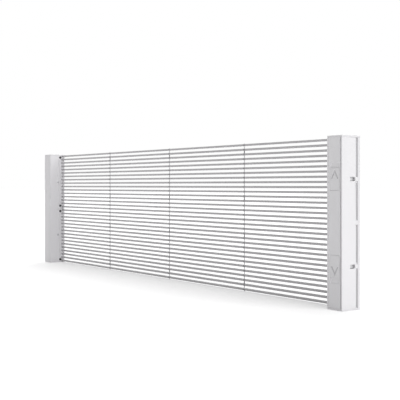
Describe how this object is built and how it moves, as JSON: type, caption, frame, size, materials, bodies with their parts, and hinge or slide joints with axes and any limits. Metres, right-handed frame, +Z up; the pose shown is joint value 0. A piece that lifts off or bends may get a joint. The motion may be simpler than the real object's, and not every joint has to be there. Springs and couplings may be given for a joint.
{
  "type": "see-through led display panel",
  "caption": "See-through LED display panel: thin horizontal light bars held between two end posts, with slide-driven bolts and matching sockets for joining panels.",
  "frame": {"origin": "centre of the footprint, on the surface that the posts stand on", "axes": "+X runs along the panel towards the latch post, -Y is the rear with the covers, +Y is the lit front, +Z is up"},
  "size_m": [1, 0.036, 0.25],
  "materials": {
    "post": "satin white powder coat",
    "cover": "satin white powder coat",
    "flange": "satin pale grey powder coat",
    "bar": "satin, mid grey",
    "comb": "satin, pale grey",
    "tie": "satin white",
    "clip": "moulded dark grey",
    "seal": "soft grey rubber",
    "cap": "fine-grained white",
    "slide": "fine-grained white",
    "steel": "brushed",
    "inner_plastic": "moulded black",
    "supply_case": "plain folded sheet",
    "circuit_board": "solder resist",
    "black_screw": "blackened",
    "lamp_strip": "matt black board",
    "lamp": "moulded, clear lens"
  },
  "bodies": {
    "frame": {"control_board": "circuit_board", "left_bottom_cap": "cap", "left_front_flange": "flange", "left_lower_comb": "comb", "left_post": "post", "left_rear_cover": "cover", "left_tie": "tie", "left_top_cap": "cap", "left_upper_comb": "comb", "light_bar_01": "bar", "light_bar_02": "bar", "light_bar_03": "bar", "light_bar_04": "bar", "light_bar_05": "bar", "light_bar_06": "bar", "light_bar_07": "bar", "light_bar_08": "bar", "light_bar_09": "bar", "light_bar_10": "bar", "light_bar_11": "bar", "light_bar_12": "bar", "light_bar_13": "bar", "light_bar_14": "bar", "light_bar_15": "bar", "light_bar_16": "bar", "light_bar_17": "bar", "light_bar_18": "bar", "light_bar_19": "bar", "light_bar_20": "bar", "light_bar_21": "bar", "light_bar_22": "bar", "light_bar_23": "bar", "light_bar_24": "bar", "light_bar_25": "bar", "light_bar_26": "bar", "light_bar_27": "bar", "light_bar_28": "bar", "light_bar_29": "bar", "light_bar_30": "bar", "light_bar_31": "bar", "light_bar_32": "bar", "lower_bolt_guide": "inner_plastic", "lower_catch_socket": "inner_plastic", "middle_tie": "tie", "power_supply": "supply_case", "right_bottom_cap": "cap", "right_front_flange": "flange", "right_lower_comb": "comb", "right_post": "post", "right_rear_cover": "cover", "right_tie": "tie", "right_top_cap": "cap", "right_upper_comb": "comb", "upper_bolt_guide": "inner_plastic", "upper_catch_socket": "inner_plastic"},
    "upper_slide": {"upper_thumb_slide": "slide"},
    "upper_bolt": {"upper_bolt": "steel"},
    "lower_slide": {"lower_thumb_slide": "slide"},
    "lower_bolt": {"lower_bolt": "steel"}
  },
  "joints": [
    {"name": "upper_slide_travel", "type": "slide", "parent": "frame", "child": "upper_slide", "axis": [0, 0, 1], "range_m": [0, 0.008]},
    {"name": "upper_bolt_travel", "type": "slide", "parent": "frame", "child": "upper_bolt", "axis": [1, 0, 0], "range_m": [0, 0.008]},
    {"name": "lower_slide_travel", "type": "slide", "parent": "frame", "child": "lower_slide", "axis": [0, 0, -1], "range_m": [0, 0.008]},
    {"name": "lower_bolt_travel", "type": "slide", "parent": "frame", "child": "lower_bolt", "axis": [1, 0, 0], "range_m": [0, 0.008]}
  ],
  "couplings": [
    {"joint": "upper_bolt_travel", "follows": "upper_slide_travel", "ratio": 1},
    {"joint": "lower_bolt_travel", "follows": "lower_slide_travel", "ratio": 1}
  ]
}
